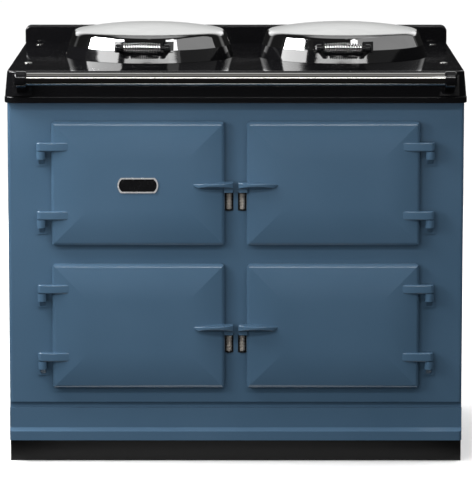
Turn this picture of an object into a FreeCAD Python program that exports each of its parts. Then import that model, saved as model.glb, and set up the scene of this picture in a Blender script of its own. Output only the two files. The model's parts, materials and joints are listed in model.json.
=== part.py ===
"""Cast iron range cooker.

It has three ovens, a control compartment, two hotplates under insulating lids and a hand rail.
Millimetres. X runs to the right, Y away from the front, Z up.
The origin is below the middle of the whole cooker.
"""
import FreeCAD, Part
import math
import os

V = FreeCAD.Vector

# Overall sizes
body_width = 977.4
hob_height = 851.0
depth = 698.0                 # lip of the top plate to the back
rail_reach = 61.0             # front of the hand rail's brackets ahead of that lip
lip_overhang = 28.0           # lip ahead of the front plate's face

# Fits and drawing aids
overlap = 1.0                 # how far pieces run into each other before they are fused or cut
near = 0.01                   # edges this near a plane lie in it
seat_gap = 0.2                # two rigid pieces that seat on each other round a curve
running_clearance = 0.05      # radial, pin in its bore
thrust_gap = 0.4              # between the knuckles of one hinge
door_gap = 1.5                # back of a door to the front plate
plug_clearance = 9.0          # a door's plug to the wall of its mouth

# Plinth, base and skirt
plinth_height = 49.0
plinth_inset = 0.5
plinth_setback = 8.0          # plinth's front behind the front plate's face
board_thickness = 18.0
foot_radius = 24.0
foot_stem_radius = 8.0
foot_pad_height = 8.0
foot_inset = 90.0
base_thickness = 12.0
skirt_top = 118.0
skirt_band_top = 68.5         # top of the skirt's lower band
skirt_chamfer_top = 75.0
skirt_proud = 3.0             # skirt's face ahead of the front plate
skirt_band_proud = 15.0
groove_top = 131.0
groove_depth = 9.0

# Front plate
plate_thickness = 16.0
plate_corner = 7.0
mouth_side_margin = 22.0      # how far a door laps its mouth at the sides
mouth_end_margin = 22.0       # and above and below
mouth_corner = 10.0

# Panels
panel_thickness = 4.0
panel_flange = 18.0
back_sheet = 1.5
louvre_length = 150.0
louvre_height = 7.0
louvre_pitch = 22.0
louvre_count = 6
louvre_end_radius = 3.0
louvre_below_top = 60.0

# Top plate and upstand
lip_side_overhang = 4.8
lip_height = 14.0
lip_proud = 1.0               # lip ahead of the apron's foot
lip_round = 2.5
ledge_thickness = 7.0         # flange that the plate stands on
apron_drop = 68.0             # hob down to the underside of the lip
apron_front_flare = 10.0
apron_side_flare = 5.5
plan_corner = 24.0
top_wall = 9.0
top_edge_round = 4.0
upstand_height = 40.0
upstand_thickness = 22.0
upstand_corner = 14.0
upstand_edge_round = 4.0

# Hotplates
hotplate_inset = 16.5         # hotplate's rim inside the lid's base edge
hotplate_thickness = 20.0
hotplate_edge_round = 2.0
hotplate_proud = 3.0
ring_width = 6.0
ring_height = 2.0
ring_wall = 2.5
ring_drop = 12.0
pan_depth = 46.0
pan_wall = 3.0
element_radius = 7.0
element_count = 3
element_inset = 17.0          # outer element's middle inside the hotplate's rim
element_pitch = 43.0

# Doors
door_inner_x = 23.0           # free edge from the middle of the cooker
door_to_hinge = 21.0          # hinge edge to the hinge axis
door_wall = 18.0              # height of a door's side wall
pillow_rise = 8.5
bevel_width = 78.0
door_edge_round = 8.0
door_corner = 10.0
door_shell = 7.0
door_top_margin = 40.0        # upper doors below the top plate's lip
door_row_gap = 39.0           # between the rows of doors
door_base_margin = 32.5       # lower doors above the groove
lower_door_extra = 3.0        # how much taller the lower doors are
plug_depth = 24.0             # how far a plug reaches into its mouth
seal_width = 8.0
seal_inset = 5.0              # seal outside the edge of its mouth
seal_relief = 0.3             # seal off the front plate

# Door hinges
hinge_inset = 72.5            # hinge axis in from the side of the body
hinge_standoff = 17.0         # hinge axis ahead of the front plate
knuckle_radius = 10.0
pin_radius = 4.0
lug_height = 19.0
fixed_knuckle_height = 17.0
gusset_drop = 16.0
gusset_thickness = 11.0
pad_margin = 3.0              # hinge pad beyond the knuckle, each side
pad_proud = 3.0
pin_cover = 5.0               # metal over a pin's hole in the door's lug
pin_end_gap = 1.0
lug_length = 68.0
lug_bow = 2.0
lug_edge_round = 3.0
lug_front_band = 0.5          # edges this near the lug's foremost line are rounded
upper_lug_below_top = 54.0    # lug centres below the door's top edge
lower_lug_below_top = 202.0

# Door handles and catches
handle_inner = 69.5           # blade's tip from the door's free edge
handle_nose_x = 6.0           # nose from the middle of the cooker
handle_proud = 26.0           # blade's front edge ahead of the door's wall
handle_top = 5.2              # back of its top above the middle of the door
handle_keel = 13.7            # back of its underside below the middle
handle_front_top = 3.0        # its front edge, above and below the middle
handle_front_bottom = 2.2
handle_front_keel = 9.0       # its underside at the nose, below the middle
handle_tip = 3.0              # its thickness where it runs out on the door
handle_tip_drop = 1.5
handle_sink = 2.0             # how deep its tip runs into the door
handle_crest_in = 21.0        # about its foremost point from the door's free edge
handle_nose_back = 13.0       # nose's front behind the foremost point
handle_upper_taper = 24.0     # from the free edge, where the top and the underside start to close in
handle_lower_taper = 39.0
handle_edge_round = 1.8
nose_standoff = 10.0          # nose's back ahead of the front plate
nose_drop = 18.0
nose_width = 19.0
nose_recess = 6.5             # lower part of the nose behind its front
roller_x = 14.3
roller_radius = 6.0
roller_length = 34.0
roller_rib_depth = 1.0
roller_rib_bevel = 1.4
roller_rib_count = 5
spindle_radius = 2.5
slot_wall = 2.5
slot_depth = 15.0
roller_proud = 5.0
catch_gap = 4.5               # under the handle's nose
catch_end_gap = 1.0

# Badge
badge_width = 87.0
badge_height = 33.0
badge_thickness = 2.5
badge_rim = 3.0
badge_side_bow = 7.0
badge_drop = 2.0              # badge below the middle of its door

# Ovens and controls
oven_wall = 8.0
oven_depth = 489.0
shelf_wire = 5.0              # the shelf's frame
shelf_bar = 3.5               # and the bars laid on it
shelf_weld = 0.5              # how far a bar is let into the frame
shelf_corner = 14.0
shelf_bar_count = 9
shelf_clearance = 1.5
runner_height = 6.0
runner_width = 10.0
shelf_below_top = 120.0
control_setback = 62.0        # control panel behind the front plate's face
control_depth = 160.0
control_wall = 2.0
knob_radius = 21.0
knob_length = 20.0
knob_grip_width = 9.0
knob_shaft_radius = 3.0
knob_count = 3
knob_pitch = 84.0
knob_gap = 0.5
knob_shaft_length = 16.0

# Hand rail
rail_radius = 13.0
rail_wall = 2.0
rail_seat = 11.0              # how far the rail goes into its brackets
rail_below_hob = 12.0
bracket_width = 26.0
bracket_inset = 20.5          # bracket's outer end inside the hob's edge
bracket_foot_spread = 8.0     # foot beyond the boss, each side
bracket_boss_radius = 17.0
boss_round = 5.0
bracket_foot_height = 44.0
bracket_foot_rise = 17.0      # foot above the underside of the lip
bracket_foot_thickness = 9.0
bracket_arm_width = 20.0
bracket_arm_margin = 4.0      # arm's root inside the foot's ends
bracket_arm_half = 13.6       # half the arm's height at the boss

# Lids
lid_pitch = 429.8
lid_shift = 22.4              # middle of the two lids to the right of the middle of the body
lid_setback = 352.0           # lid centre behind the hob's front edge
lid_base_radius = 188.5
lid_seam_inset = 8.0          # seam inside the base edge
lid_seam_height = 27.0        # above the hob
lid_shoulder_inset = 20.5
lid_shoulder_height = 58.0
lid_crown_height = 74.0
lid_shoulder_round = 9.0
lid_shell = 2.5
ring_shell = 6.0
lid_lift = 0.3                # base ring off the hob
liner_inset = 20.5            # liner's rim inside the base edge
liner_gap = 4.0               # liner above the hotplate
liner_round = 5.0
liner_flange = 2.0

# Lid handles and hinges
coil_length = 96.0
coil_middle_radius = 10.7     # to the middle of the wire
coil_end_radius = 8.0
coil_wire = 3.6
coil_turns = 15
coil_straight = 7.2           # straight wire at each end of the coil
points_per_turn = 24          # where the coil's gap to itself is measured
lid_handle_turn = (-2.7, -1.0)  # degrees that each handle is set round its lid
handle_reach = 31.0           # handle's axis ahead of the lid's side
handle_height = 35.0          # above the hob
handle_rod_radius = 4.0
handle_end_length = 12.0
handle_end_radius = 9.0
handle_arm_top = 3.6          # arm's top above the handle's axis
arm_root = 34.0               # an arm is drawn this far inside the lid's shoulder, then fitted to the lid
handle_pad_height = 22.0
pad_thickness = 4.0
pad_side = 5.0                # pad beyond its arm
lid_hinge_reach = 14.0        # hinge axis behind the lid's base edge
lid_hinge_height = 22.0
lid_barrel_radius = 9.0
lid_pin_radius = 4.0
lid_barrel_length = 44.0
ear_thickness = 10.0
hinge_foot_length = 84.0
hinge_foot_thickness = 6.0
hinge_foot_depth = 26.0

# Positions that follow
y_back = (depth + rail_reach) / 2
y_lip = y_back - depth
y_face = y_lip + lip_overhang
y_inside = y_face + plate_thickness
half_body = body_width / 2
half_lip = half_body + lip_side_overhang
lip_bottom = hob_height - apron_drop
z_lip_top = lip_bottom + lip_height
y_hob_front = y_lip + apron_front_flare
half_hob = half_lip - apron_side_flare
y_axis = y_face - hinge_standoff
y_roller = y_face - roller_proud + roller_radius
y_upstand = y_back - upstand_thickness
y_lid = y_hob_front + lid_setback
lid_x = (lid_shift - lid_pitch / 2, lid_shift + lid_pitch / 2)
lid_seam_radius = lid_base_radius - lid_seam_inset
lid_shoulder_radius = lid_base_radius - lid_shoulder_inset
liner_radius = lid_base_radius - liner_inset
hotplate_radius = lid_base_radius - hotplate_inset
bracket_inner_x = half_hob - bracket_inset - bracket_width
bracket_foot_bottom = lip_bottom + bracket_foot_rise
rail_half_length = bracket_inner_x + rail_seat
y_rail = y_back - depth - rail_reach + bracket_boss_radius
z_rail = hob_height - rail_below_hob
half_well = half_body - panel_flange - seat_gap
ring_hole_radius = hotplate_radius + seat_gap + ring_wall
lower_door_bottom = groove_top + door_base_margin
upper_door_top = lip_bottom - door_top_margin
upper_door_height = (upper_door_top - lower_door_bottom - door_row_gap - lower_door_extra) / 2
upper_door_bottom = upper_door_top - upper_door_height
lower_door_top = upper_door_bottom - door_row_gap
hinge_x = half_body - hinge_inset
door_outer_x = hinge_x - door_to_hinge
mouth_inner_x = door_inner_x + mouth_side_margin
mouth_outer_x = door_outer_x - mouth_side_margin


def box(x0, x1, y0, y1, z0, z1):
    """A box between two opposite corners, given in either order."""
    low = V(min(x0, x1), min(y0, y1), min(z0, z1))
    return Part.makeBox(abs(x1 - x0), abs(y1 - y0), abs(z1 - z0), low)


def rod(start, end, radius):
    """A cylinder from one point to another."""
    along = end - start
    return Part.makeCylinder(radius, along.Length, start, along)


def fuse(shapes):
    """One solid from shapes that overlap or share faces."""
    joined = shapes[0].multiFuse(shapes[1:])
    return joined.removeSplitter()


def cut(shape, tools):
    """The shape with every tool taken out of it."""
    return shape.cut(tools)


def mirrored(shape):
    """The same shape on the other side of the middle."""
    return shape.mirror(V(0, 0, 0), V(1, 0, 0))


def face_of(edges):
    """A flat face inside edges that close in order."""
    return Part.Face(Part.Wire(edges))


def polygon(points):
    """A flat face inside straight lines through the points."""
    return Part.Face(Part.makePolygon(points + [points[0]]))


def rounded_rectangle(x0, x1, y0, y1, z, front_radius, back_radius):
    """A level wire round a rectangle whose front and back corners have their own radii."""
    turn = math.sqrt(0.5)
    edges = []
    corners = [
        (x0, y0, 1, 1, front_radius),
        (x1, y0, -1, 1, front_radius),
        (x1, y1, -1, -1, back_radius),
        (x0, y1, 1, -1, back_radius),
    ]
    ends = []
    for i, (x, y, sx, sy, r) in enumerate(corners):
        along_x = V(x + sx * r, y, z)
        along_y = V(x, y + sy * r, z)
        middle = V(x + sx * r * (1 - turn), y + sy * r * (1 - turn), z)
        first, last = (along_y, along_x) if i % 2 == 0 else (along_x, along_y)
        ends.append((first, middle, last))
    for i, (first, middle, last) in enumerate(ends):
        if corners[i][4] > 0:
            edges.append(Part.Arc(first, middle, last).toShape())
        edges.append(Part.LineSegment(last, ends[(i + 1) % 4][0]).toShape())
    return Part.Wire(edges)


def rounded_slab(x0, x1, z0, z1, y0, y1, radius):
    """A plate on edge from y0 back to y1, with rounded corners as seen from the front."""
    flat = Part.Face(rounded_rectangle(x0, x1, -z1, -z0, y0, radius, radius))
    slab = flat.extrude(V(0, 0, y1 - y0))
    slab.rotate(V(0, 0, 0), V(1, 0, 0), -90)
    return slab


def tube_along(path, start, way, radius):
    """One unbroken round tube along a smooth wire."""
    ring = Part.Wire(Part.makeCircle(radius, start, way))
    shell = Part.BRepOffsetAPI.MakePipeShell(path)
    shell.add(ring)
    shell.build()
    shell.makeSolid()
    return shell.shape()


def save(name, shape):
    """Writes one node."""
    shape.exportStep("parts/" + name + ".step")


def group(shapes):
    """Several separate solids as one node."""
    return Part.makeCompound(shapes)


def extruded(points, direction, span):
    """A prism: the outline through the points, moved along the direction by the span."""
    return polygon(points).extrude(direction * span)


def slab_with_hole(x0, x1, z0, z1, y0, y1, wall, radius):
    """A box-shaped sleeve on edge, open at the front and back, whose inside is the given rectangle."""
    outer = rounded_slab(x0 - wall, x1 + wall, z0 - wall, z1 + wall, y0, y1, radius + wall)
    inner = rounded_slab(x0, x1, z0, z1, y0, y1, radius)
    return cut(outer, [inner])


# Each door's span in height, and the mouth behind it
door_rows = {"top": (upper_door_bottom, upper_door_top), "bottom": (lower_door_bottom, lower_door_top)}
sides = {"left": -1, "right": 1}
oven_places = [("top", "right"), ("bottom", "right"), ("bottom", "left")]


def mouth_span(row):
    """Bottom and top of the mouths in a row of doors."""
    bottom, top = door_rows[row]
    return bottom + mouth_end_margin, top - mouth_end_margin


def mouth_x(side):
    """Left and right edges of the mouths on one side."""
    ends = (sides[side] * mouth_inner_x, sides[side] * mouth_outer_x)
    return min(ends), max(ends)


def handle_z(row):
    """Height of the handles in a row of doors: the middle of the doors."""
    bottom, top = door_rows[row]
    return (bottom + top) / 2


def lug_centres(row):
    """Heights of the two door lugs in a row."""
    top = door_rows[row][1]
    return (top - upper_lug_below_top, top - lower_lug_below_top)


def knuckle_top(lug_centre):
    """Top of the fixed knuckle that stands under a door lug."""
    return lug_centre - lug_height / 2 - thrust_gap


# ---- plinth, base and skirt ----

def plinth():
    """Four boards on the floor, set back under the body."""
    x = half_body - plinth_inset
    y0 = y_face + plinth_setback
    y1 = y_back - plinth_inset
    t = board_thickness
    front = box(-x, x, y0, y0 + t, 0, plinth_height)
    back = box(-x, x, y1 - t, y1, 0, plinth_height)
    left = box(-x, -x + t, y0 + t, y1 - t, 0, plinth_height)
    return group([front, back, left, mirrored(left)])


def levelling_feet():
    """Four screw feet under the base plate, inside the plinth."""
    feet = []
    for x in (-half_body + foot_inset, half_body - foot_inset):
        for y in (y_face + foot_inset, y_back - foot_inset):
            pad = Part.makeCylinder(foot_radius, foot_pad_height, V(x, y, 0))
            stem_height = plinth_height - foot_pad_height
            stem = Part.makeCylinder(foot_stem_radius, stem_height, V(x, y, foot_pad_height))
            feet.append(fuse([pad, stem]))
    return group(feet)


def base_plate():
    """The slab that the ovens and panels stand on."""
    x = half_body - panel_thickness
    y1 = y_back - back_sheet
    return box(-x, x, y_face + groove_depth, y1, plinth_height, plinth_height + base_thickness)


def rounded_ends(shape, x, radius):
    """The shape with its upright front corners at x and -x rounded, by trimming to a rounded plan."""
    bounds = shape.BoundBox
    plan = rounded_rectangle(-x, x, bounds.YMin, bounds.YMax, bounds.ZMin, radius, 0)
    return shape.common(Part.Face(plan).extrude(V(0, 0, bounds.ZLength)))


def skirt():
    """The moulding across the foot of the front: a lower band, a chamfer and a face."""
    back = y_face + groove_depth
    face = y_face - skirt_proud
    band = y_face - skirt_band_proud
    outline = [
        (back, plinth_height),
        (band, plinth_height),
        (band, skirt_band_top),
        (face, skirt_chamfer_top),
        (face, skirt_top),
        (back, skirt_top),
    ]
    moulding = extruded([V(-half_body, y, z) for y, z in outline], V(1, 0, 0), body_width)
    return rounded_ends(moulding, half_body, plate_corner)


# ---- front plate ----

def hinge_knuckle(top):
    """A fixed knuckle of the right-hand doors, with its web, pad and gusset."""
    bottom = top - fixed_knuckle_height
    half = gusset_thickness / 2
    barrel = Part.makeCylinder(knuckle_radius, fixed_knuckle_height, V(hinge_x, y_axis, bottom))
    web = box(hinge_x - half, hinge_x + half, y_axis, y_face + overlap, bottom, top)
    slope = [
        V(hinge_x - half, y_axis, bottom),
        V(hinge_x - half, y_face + overlap, bottom),
        V(hinge_x - half, y_face + overlap, bottom - gusset_drop),
    ]
    gusset = extruded(slope, V(1, 0, 0), gusset_thickness)
    pad_x = knuckle_radius + pad_margin
    pad = rounded_slab(
        hinge_x - pad_x, hinge_x + pad_x, bottom - gusset_drop, top,
        y_face - pad_proud, y_face + overlap, pad_margin,
    )
    return fuse([barrel, web, gusset, pad])


def knuckle_bore(top):
    """The hole for the hinge pin in a fixed knuckle."""
    bottom = top - fixed_knuckle_height
    return Part.makeCylinder(pin_radius, fixed_knuckle_height, V(hinge_x, y_axis, bottom))


def catch_pocket(row, side, wall):
    """The hollow of a catch housing, grown by the given wall; the housing itself fills the grown size."""
    half_x = roller_radius + catch_end_gap + wall
    x = sides[side] * roller_x
    z1 = roller_top(row) + catch_end_gap + wall
    z0 = roller_top(row) - roller_length - catch_end_gap - wall
    return box(x - half_x, x + half_x, y_face, y_face + slot_depth - slot_wall + wall, z0, z1)


def roller_top(row):
    """Top of the catch rollers: just under the handles' noses."""
    return handle_z(row) - nose_drop - catch_gap


def front_plate():
    """One casting with four mouths, eight hinge knuckles and four slots for the catches."""
    main = box(-half_body, half_body, y_face, y_inside, groove_top, lip_bottom)
    foot_z = plinth_height + base_thickness
    web = box(-half_body, half_body, y_face + groove_depth, y_inside, foot_z, groove_top)
    plate = rounded_ends(fuse([main, web]), half_body, plate_corner)
    mouths = []
    slots = []
    for row in door_rows:
        z0, z1 = mouth_span(row)
        for side in sides:
            x0, x1 = mouth_x(side)
            mouths.append(rounded_slab(x0, x1, z0, z1, y_face - overlap, y_inside + overlap, mouth_corner))
            slots.append(catch_pocket(row, side, slot_wall))
    plate = cut(plate, mouths + slots)
    tops = [knuckle_top(z) for row in door_rows for z in lug_centres(row)]
    knuckles = [hinge_knuckle(top) for top in tops]
    bores = [knuckle_bore(top) for top in tops]
    knuckles += [mirrored(k) for k in knuckles]
    bores += [mirrored(b) for b in bores]
    return cut(fuse([plate] + knuckles), bores)


def hinge_pins():
    """Eight pins, each standing in its fixed knuckle and up into the door's lug."""
    pins = []
    for row in door_rows:
        for centre in lug_centres(row):
            top = knuckle_top(centre)
            length = fixed_knuckle_height + thrust_gap + lug_height - pin_cover - pin_end_gap
            start = V(hinge_x, y_axis, top - fixed_knuckle_height)
            pins.append(Part.makeCylinder(pin_radius, length, start))
    return group(pins + [mirrored(p) for p in pins])


def catch_housings():
    """Four black cups let into the stile, each with the upright spindle that its roller turns on."""
    cups = []
    for row in door_rows:
        for side in sides:
            outer = catch_pocket(row, side, slot_wall)
            inner = catch_pocket(row, side, 0)
            x = sides[side] * roller_x
            z0 = outer.BoundBox.ZMin
            spindle = Part.makeCylinder(spindle_radius, outer.BoundBox.ZLength, V(x, y_roller, z0))
            end_blocks = box(
                x - spindle_radius - slot_wall, x + spindle_radius + slot_wall,
                y_roller - spindle_radius - slot_wall, y_face + slot_wall,
                z0, outer.BoundBox.ZMax,
            )
            ears = cut(end_blocks, [box(
                x - half_body, x + half_body, y_face - slot_depth, y_face + slot_depth,
                inner.BoundBox.ZMin, inner.BoundBox.ZMax,
            )])
            cups.append(fuse([cut(outer, [inner]), ears, spindle]))
    return group(cups)


def catch_roller(row, side):
    """A steel roller with bevelled ribs round it, bored for its spindle."""
    x = sides[side] * roller_x
    top = roller_top(row)
    pitch = roller_length / roller_rib_count
    waist = roller_radius - roller_rib_depth
    bore = spindle_radius + running_clearance
    z = top - roller_length
    outline = [(bore, top), (bore, z), (waist, z)]
    for _ in range(roller_rib_count):
        outline.append((roller_radius, z + roller_rib_bevel))
        z += pitch
        outline.append((roller_radius, z - roller_rib_bevel))
        outline.append((waist, z))
    section = polygon([V(x + r, y_roller, height) for r, height in outline])
    return section.revolve(V(x, y_roller, 0), V(0, 0, 1), 360)


# ---- panels ----

def side_panel():
    """The right side panel, folded in at its front, back and top edges."""
    y1 = y_back - back_sheet
    t = panel_thickness
    outer = box(half_body - panel_flange, half_body, y_inside, y1, plinth_height, lip_bottom)
    hollow = box(0, half_body - t, y_inside + t, y1 - t, 0, lip_bottom - t)
    base = base_plate()
    return cut(outer, [hollow, base])


def back_panel():
    """A sheet across the back with two banks of vent slots."""
    sheet = box(-half_body, half_body, y_back - back_sheet, y_back, plinth_height, lip_bottom)
    slots = []
    for x in (-half_body / 2, half_body / 2):
        for i in range(louvre_count):
            z = lip_bottom - louvre_below_top - i * louvre_pitch
            slots.append(rounded_slab(
                x - louvre_length / 2, x + louvre_length / 2, z - louvre_height, z,
                y_back - back_sheet - overlap, y_back + overlap, louvre_end_radius,
            ))
    return cut(sheet, slots)


# ---- top plate, upstand and hotplates ----

def apron_plan(grow, z):
    """Level outline of the apron where it has flared out by the share grow of its flare."""
    x = half_hob + (apron_side_flare - lip_proud) * grow
    y0 = y_hob_front - (apron_front_flare - lip_proud) * grow
    return rounded_rectangle(-x, x, y0, y_back, z, plan_corner, 0)


def top_plate():
    """The hob casting: a flat top, a flared apron, a rounded lip and a ledge over the front plate."""
    shell = Part.makeLoft([apron_plan(1, z_lip_top - overlap), apron_plan(0, hob_height)], True, True)
    brim = [e for e in shell.Edges if e.BoundBox.ZMin > hob_height - near]
    shell = shell.makeFillet(top_edge_round, [e for e in brim if e.BoundBox.YMin < y_upstand])
    lip = Part.Face(rounded_rectangle(-half_lip, half_lip, y_lip, y_back, lip_bottom, plan_corner, 0))
    lip = lip.extrude(V(0, 0, lip_height))
    level = [e for e in lip.Edges if e.BoundBox.ZLength < near]
    lip = lip.makeFillet(lip_round, [e for e in level if e.BoundBox.YMin < y_upstand])
    cavity = box(
        -half_hob + top_wall, half_hob - top_wall, y_hob_front + top_wall, y_back - top_wall,
        lip_bottom + ledge_thickness, hob_height - top_wall,
    )
    well = box(
        -half_well, half_well, y_inside, y_back - back_sheet - panel_thickness,
        lip_bottom, hob_height - top_wall,
    )
    holes = [
        Part.makeCylinder(ring_hole_radius, 2 * top_wall, V(x, y_lid, hob_height - top_wall)) for x in lid_x
    ]
    return cut(fuse([shell, lip]), [cavity, well] + holes)


def rear_upstand():
    """The low wall along the back of the hob, with rounded top corners."""
    top = hob_height + upstand_height
    low = hob_height - upstand_corner
    wall = rounded_slab(-half_hob, half_hob, low, top, y_upstand, y_back, upstand_corner)
    wall = wall.common(box(-half_hob, half_hob, y_upstand, y_back, hob_height, top))
    front = [e for e in wall.Edges if e.BoundBox.YMax < y_upstand + near]
    return wall.makeFillet(upstand_edge_round, [e for e in front if e.BoundBox.ZMax > hob_height + near])


def hotplate(x):
    """A cast disc, a little proud of the hob, with a rounded rim."""
    base = hob_height + hotplate_proud - hotplate_thickness
    disc = Part.makeCylinder(hotplate_radius, hotplate_thickness, V(x, y_lid, base))
    rim = [e for e in disc.Edges if e.BoundBox.ZMin > base + near]
    return disc.makeFillet(hotplate_edge_round, rim)


def hotplate_rings():
    """The trim rings that close the gap between each hotplate and the hob."""
    rings = []
    for x in lid_x:
        inner = hotplate_radius + seat_gap
        flange = Part.makeCylinder(inner + ring_width, ring_height, V(x, y_lid, hob_height))
        drop = Part.makeCylinder(inner + ring_wall, ring_drop, V(x, y_lid, hob_height - ring_drop))
        bore = Part.makeCylinder(inner, 3 * ring_drop, V(x, y_lid, hob_height - 2 * ring_drop))
        rings.append(cut(fuse([flange, drop]), [bore]))
    return group(rings)


def heater_pans():
    """A steel pan under each hotplate, with ring elements against the plate's underside."""
    parts = []
    top = hob_height + hotplate_proud - hotplate_thickness
    for x in lid_x:
        floor = V(x, y_lid, top - pan_depth)
        outer = Part.makeCylinder(hotplate_radius, pan_depth, floor)
        inner = Part.makeCylinder(hotplate_radius - pan_wall, pan_depth, floor + V(0, 0, pan_wall))
        parts.append(cut(outer, [inner]))
        middle = V(x, y_lid, top - element_radius - seat_gap)
        for i in range(element_count):
            ring_radius = hotplate_radius - element_inset - i * element_pitch
            parts.append(Part.makeTorus(ring_radius, element_radius, middle))
    return group(parts)


# ---- ovens, controls and insulation ----

def oven(row, side):
    """A cast oven box behind its mouth, with a runner down each side."""
    x0, x1 = mouth_x(side)
    z0, z1 = mouth_span(row)
    y1 = y_inside + oven_depth
    outer = rounded_slab(
        x0 - oven_wall, x1 + oven_wall, z0 - oven_wall, z1 + oven_wall, y_inside, y1, mouth_corner + oven_wall
    )
    inner = rounded_slab(x0, x1, z0, z1, y_inside - overlap, y1 - oven_wall, mouth_corner)
    z = z1 - shelf_below_top
    y0 = y_inside + mouth_corner
    runners = [
        box(x0 - overlap, x0 + runner_width, y0, y1 - oven_wall, z - runner_height, z),
        box(x1 - runner_width, x1 + overlap, y0, y1 - oven_wall, z - runner_height, z),
    ]
    return fuse([cut(outer, [inner])] + runners)


def shelf(row, side):
    """A wire shelf on an oven's runners: a frame with bars from front to back."""
    x0, x1 = mouth_x(side)
    r = shelf_wire / 2
    z = mouth_span(row)[1] - shelf_below_top + r
    x0 += r + shelf_clearance
    x1 -= r + shelf_clearance
    y0 = y_inside + mouth_corner + r
    y1 = y_inside + oven_depth - oven_wall - r - shelf_clearance
    path = rounded_rectangle(x0, x1, y0, y1, z, shelf_corner, shelf_corner)
    edge = path.OrderedEdges[1]
    start = edge.valueAt(edge.FirstParameter)
    wires = [tube_along(path, start, edge.tangentAt(edge.FirstParameter), r)]
    z_bar = z + r + shelf_bar / 2 - shelf_weld
    for i in range(1, shelf_bar_count + 1):
        x = x0 + (x1 - x0) * i / (shelf_bar_count + 1)
        wires.append(rod(V(x, y0 - r, z_bar), V(x, y1 + r, z_bar), shelf_bar / 2))
    return fuse(wires)


def knob_x(number):
    """Middle of one of the controls, counted from 0 at the left."""
    return (number - (knob_count - 1) / 2) * knob_pitch - (mouth_inner_x + mouth_outer_x) / 2


def control_box():
    """The compartment behind the top left door, with a set-back panel that the controls pass through."""
    x0, x1 = mouth_x("left")
    z0, z1 = mouth_span("top")
    sleeve = slab_with_hole(x0, x1, z0, z1, y_inside, y_inside + control_depth, control_wall, mouth_corner)
    outer = rounded_slab(
        x0 - control_wall, x1 + control_wall, z0 - control_wall, z1 + control_wall,
        y_inside + control_depth - control_wall, y_inside + control_depth, mouth_corner + control_wall,
    )
    y0 = y_face + control_setback
    panel = rounded_slab(
        x0 - overlap, x1 + overlap, z0 - overlap, z1 + overlap, y0, y0 + panel_thickness, mouth_corner
    )
    z = handle_z("top")
    y2 = y0 + panel_thickness + overlap
    radius = knob_shaft_radius + running_clearance
    holes = [rod(V(knob_x(i), y0 - overlap, z), V(knob_x(i), y2, z), radius) for i in range(knob_count)]
    return cut(fuse([sleeve, outer, panel]), holes)


def knob(number):
    """A rotary control: a disc with a grip bar across it, on a shaft."""
    x = knob_x(number)
    z = handle_z("top")
    y1 = y_face + control_setback - knob_gap
    y_disc = y1 - knob_length / 2
    disc = rod(V(x, y_disc, z), V(x, y1, z), knob_radius)
    half = knob_grip_width / 2
    grip = box(x - half, x + half, y1 - knob_length, y_disc, z - knob_radius, z + knob_radius)
    grip = grip.common(rod(V(x, y1 - knob_length, z), V(x, y1, z), knob_radius))
    shaft = rod(V(x, y1, z), V(x, y1 + knob_shaft_length, z), knob_shaft_radius)
    return fuse([disc, grip, shaft])


def insulation():
    """The filling round the ovens, the control compartment and the heater pans."""
    half = half_well - seat_gap
    fill = box(
        -half, half, y_inside, y_back - back_sheet - panel_thickness,
        plinth_height + base_thickness, hob_height - top_wall,
    )
    hollows = []
    for row in door_rows:
        for side in sides:
            x0, x1 = mouth_x(side)
            z0, z1 = mouth_span(row)
            controls = (row, side) == ("top", "left")
            wall = control_wall if controls else oven_wall
            length = control_depth if controls else oven_depth
            hollows.append(rounded_slab(
                x0 - wall, x1 + wall, z0 - wall, z1 + wall,
                y_inside - overlap, y_inside + length, mouth_corner + wall,
            ))
    top = hob_height + hotplate_proud - hotplate_thickness
    for x in lid_x:
        hollows.append(Part.makeCylinder(hotplate_radius, 2 * pan_depth, V(x, y_lid, top - pan_depth)))
        hollows.append(Part.makeCylinder(
            hotplate_radius + seat_gap + ring_wall, 2 * ring_drop, V(x, y_lid, hob_height - ring_drop)
        ))
    return cut(fill, hollows)


# ---- hand rail ----

def hand_rail():
    """A straight tube across the front of the hob."""
    start = V(-rail_half_length, y_rail, z_rail)
    end = V(rail_half_length, y_rail, z_rail)
    return cut(rod(start, end, rail_radius), [rod(start, end, rail_radius - rail_wall)])


def apron_y(z):
    """Where the apron's front face is at a height."""
    lower = y_lip + lip_proud
    foot = z_lip_top - overlap
    share = (z - foot) / (hob_height - foot)
    return lower + (y_hob_front - lower) * share


def rail_bracket():
    """The right-hand bracket: a foot on the apron, an arm, and a boss with a cap over the rail's end."""
    foot_top = bracket_foot_bottom + bracket_foot_height
    x1 = bracket_inner_x + bracket_width
    foot_x = bracket_inner_x - bracket_foot_spread
    foot = extruded([
        V(foot_x, apron_y(bracket_foot_bottom), bracket_foot_bottom),
        V(foot_x, apron_y(foot_top), foot_top),
        V(foot_x, apron_y(foot_top) - bracket_foot_thickness / 2, foot_top),
        V(foot_x, apron_y(bracket_foot_bottom) - bracket_foot_thickness, bracket_foot_bottom),
    ], V(1, 0, 0), bracket_width + 2 * bracket_foot_spread)
    arm_x = bracket_inner_x + (bracket_width - bracket_arm_width) / 2
    arm = extruded([
        V(arm_x, apron_y(bracket_foot_bottom) - overlap, bracket_foot_bottom + bracket_arm_margin),
        V(arm_x, apron_y(foot_top) - overlap, foot_top - bracket_arm_margin),
        V(arm_x, y_rail, z_rail + bracket_arm_half),
        V(arm_x, y_rail, z_rail - bracket_arm_half),
    ], V(1, 0, 0), bracket_arm_width)
    boss = rod(V(bracket_inner_x, y_rail, z_rail), V(x1, y_rail, z_rail), bracket_boss_radius)
    boss_edges = [e for e in boss.Edges if e.BoundBox.XLength < near]
    boss = boss.makeFillet(boss_round, boss_edges)
    mouth = V(bracket_inner_x - overlap, y_rail, z_rail)
    socket = rod(mouth, V(rail_half_length, y_rail, z_rail), rail_radius)
    return cut(fuse([foot, arm, boss]), [socket])


# ---- doors ----

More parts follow.
